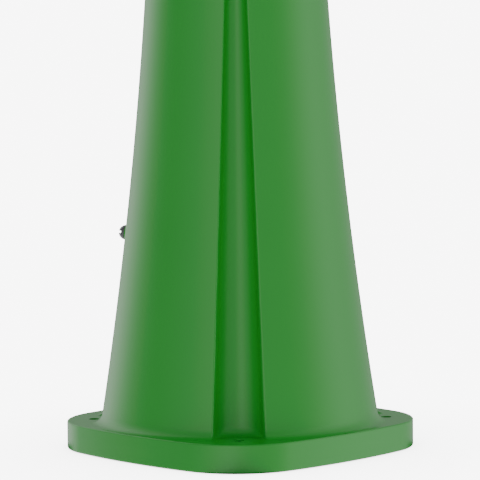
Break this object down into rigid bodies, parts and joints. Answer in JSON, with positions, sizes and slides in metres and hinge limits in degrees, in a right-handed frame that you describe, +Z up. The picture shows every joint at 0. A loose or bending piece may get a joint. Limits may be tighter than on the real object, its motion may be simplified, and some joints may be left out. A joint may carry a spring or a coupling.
{
  "type": "street lamp post",
  "caption": "Green street lamp post: fluted cast base on a rounded square flange, service door with slotted lock, tapered shaft and domed post-top lantern.",
  "frame": {"origin": "centre of the flange underside, on the ground", "axes": "+Z up the post; X and Y parallel to the flange sides; the service door faces -X"},
  "size_m": [0.44, 0.44, 3.758],
  "materials": {
    "green_paint": "semi-gloss powder coat over cast metal",
    "stainless": "satin",
    "zinc_plate": "zinc plated",
    "brass": "satin",
    "black_rubber": "matte",
    "black_plastic": "matte",
    "grey_plastic": "matte",
    "white_plastic": "satin",
    "board_steel": "satin powder coat",
    "reflector_white": "gloss white",
    "opal": "frosted opal"
  },
  "bodies": {
    "post": {"base_casting": "green_paint", "door_gasket": "black_rubber", "hinge_pins": "stainless", "collar_ring": "green_paint", "shaft": "green_paint", "shaft_bolts": "stainless", "upper_band": "green_paint", "spigot": "green_paint", "gear_board": "board_steel", "board_screws": "zinc_plate", "terminal_box": "grey_plastic", "terminal_block": "white_plastic", "terminal_screws": "brass", "cover_pin": "stainless", "cutout_block": "black_plastic", "supply_gland": "black_plastic", "link_cable": "black_rubber", "lamp_gland": "black_plastic", "lamp_cable": "black_rubber", "earth_stud": "brass", "earth_nuts": "brass", "fitter": "green_paint", "fitter_screws": "stainless", "gear_plate": "zinc_plate", "plate_screws": "stainless", "surge_module": "black_plastic", "lamp_holder": "white_plastic", "lamp_cap": "brass", "lamp_body": "white_plastic", "lamp_globe": "opal", "lower_seal": "black_rubber", "diffuser": "opal", "upper_seal": "black_rubber", "frame_ring": "green_paint", "struts": "green_paint", "canopy_pin": "stainless"},
    "door": {"door": "green_paint", "lock_nut": "zinc_plate"},
    "lock": {"lock_barrel": "stainless", "lock_cam": "zinc_plate", "cam_screw": "stainless"},
    "box_cover": {"box_cover": "grey_plastic", "cover_screw": "zinc_plate"},
    "fuse_carrier": {"fuse_carrier": "black_plastic", "fuse_link": "white_plastic", "carrier_blades": "brass"},
    "canopy": {"canopy": "green_paint", "canopy_hook": "green_paint", "reflector": "reflector_white", "finial": "green_paint"},
    "canopy_catch": {"canopy_catch": "stainless"}
  },
  "joints": [
    {"name": "door_hinge", "type": "hinge", "parent": "post", "child": "door", "pos_m": [-0.11431, 0.09867, 0.283], "axis": [-0.0896, 0.0774, -0.993], "range_deg": [0, 110]},
    {"name": "lock_turn", "type": "hinge", "parent": "door", "child": "lock", "pos_m": [-0.13068, -0.07698, 0.283], "axis": [0.8556, 0.504, -0.1184], "range_deg": [0, 90]},
    {"name": "cover_hinge", "type": "hinge", "parent": "post", "child": "box_cover", "pos_m": [0.007, 0.046, 0.3325], "axis": [0, 0, -1], "range_deg": [0, 95]},
    {"name": "carrier_slide", "type": "slide", "parent": "post", "child": "fuse_carrier", "axis": [-1, 0, 0], "range_m": [0, 0.06]},
    {"name": "canopy_hinge", "type": "hinge", "parent": "post", "child": "canopy", "pos_m": [0.205, 0, 3.6], "axis": [0, 1, 0], "range_deg": [0, 80]},
    {"name": "catch_turn", "type": "hinge", "parent": "post", "child": "canopy_catch", "pos_m": [-0.198, 0, 3.586], "axis": [0, 0, 1], "range_deg": [0, 90]}
  ]
}
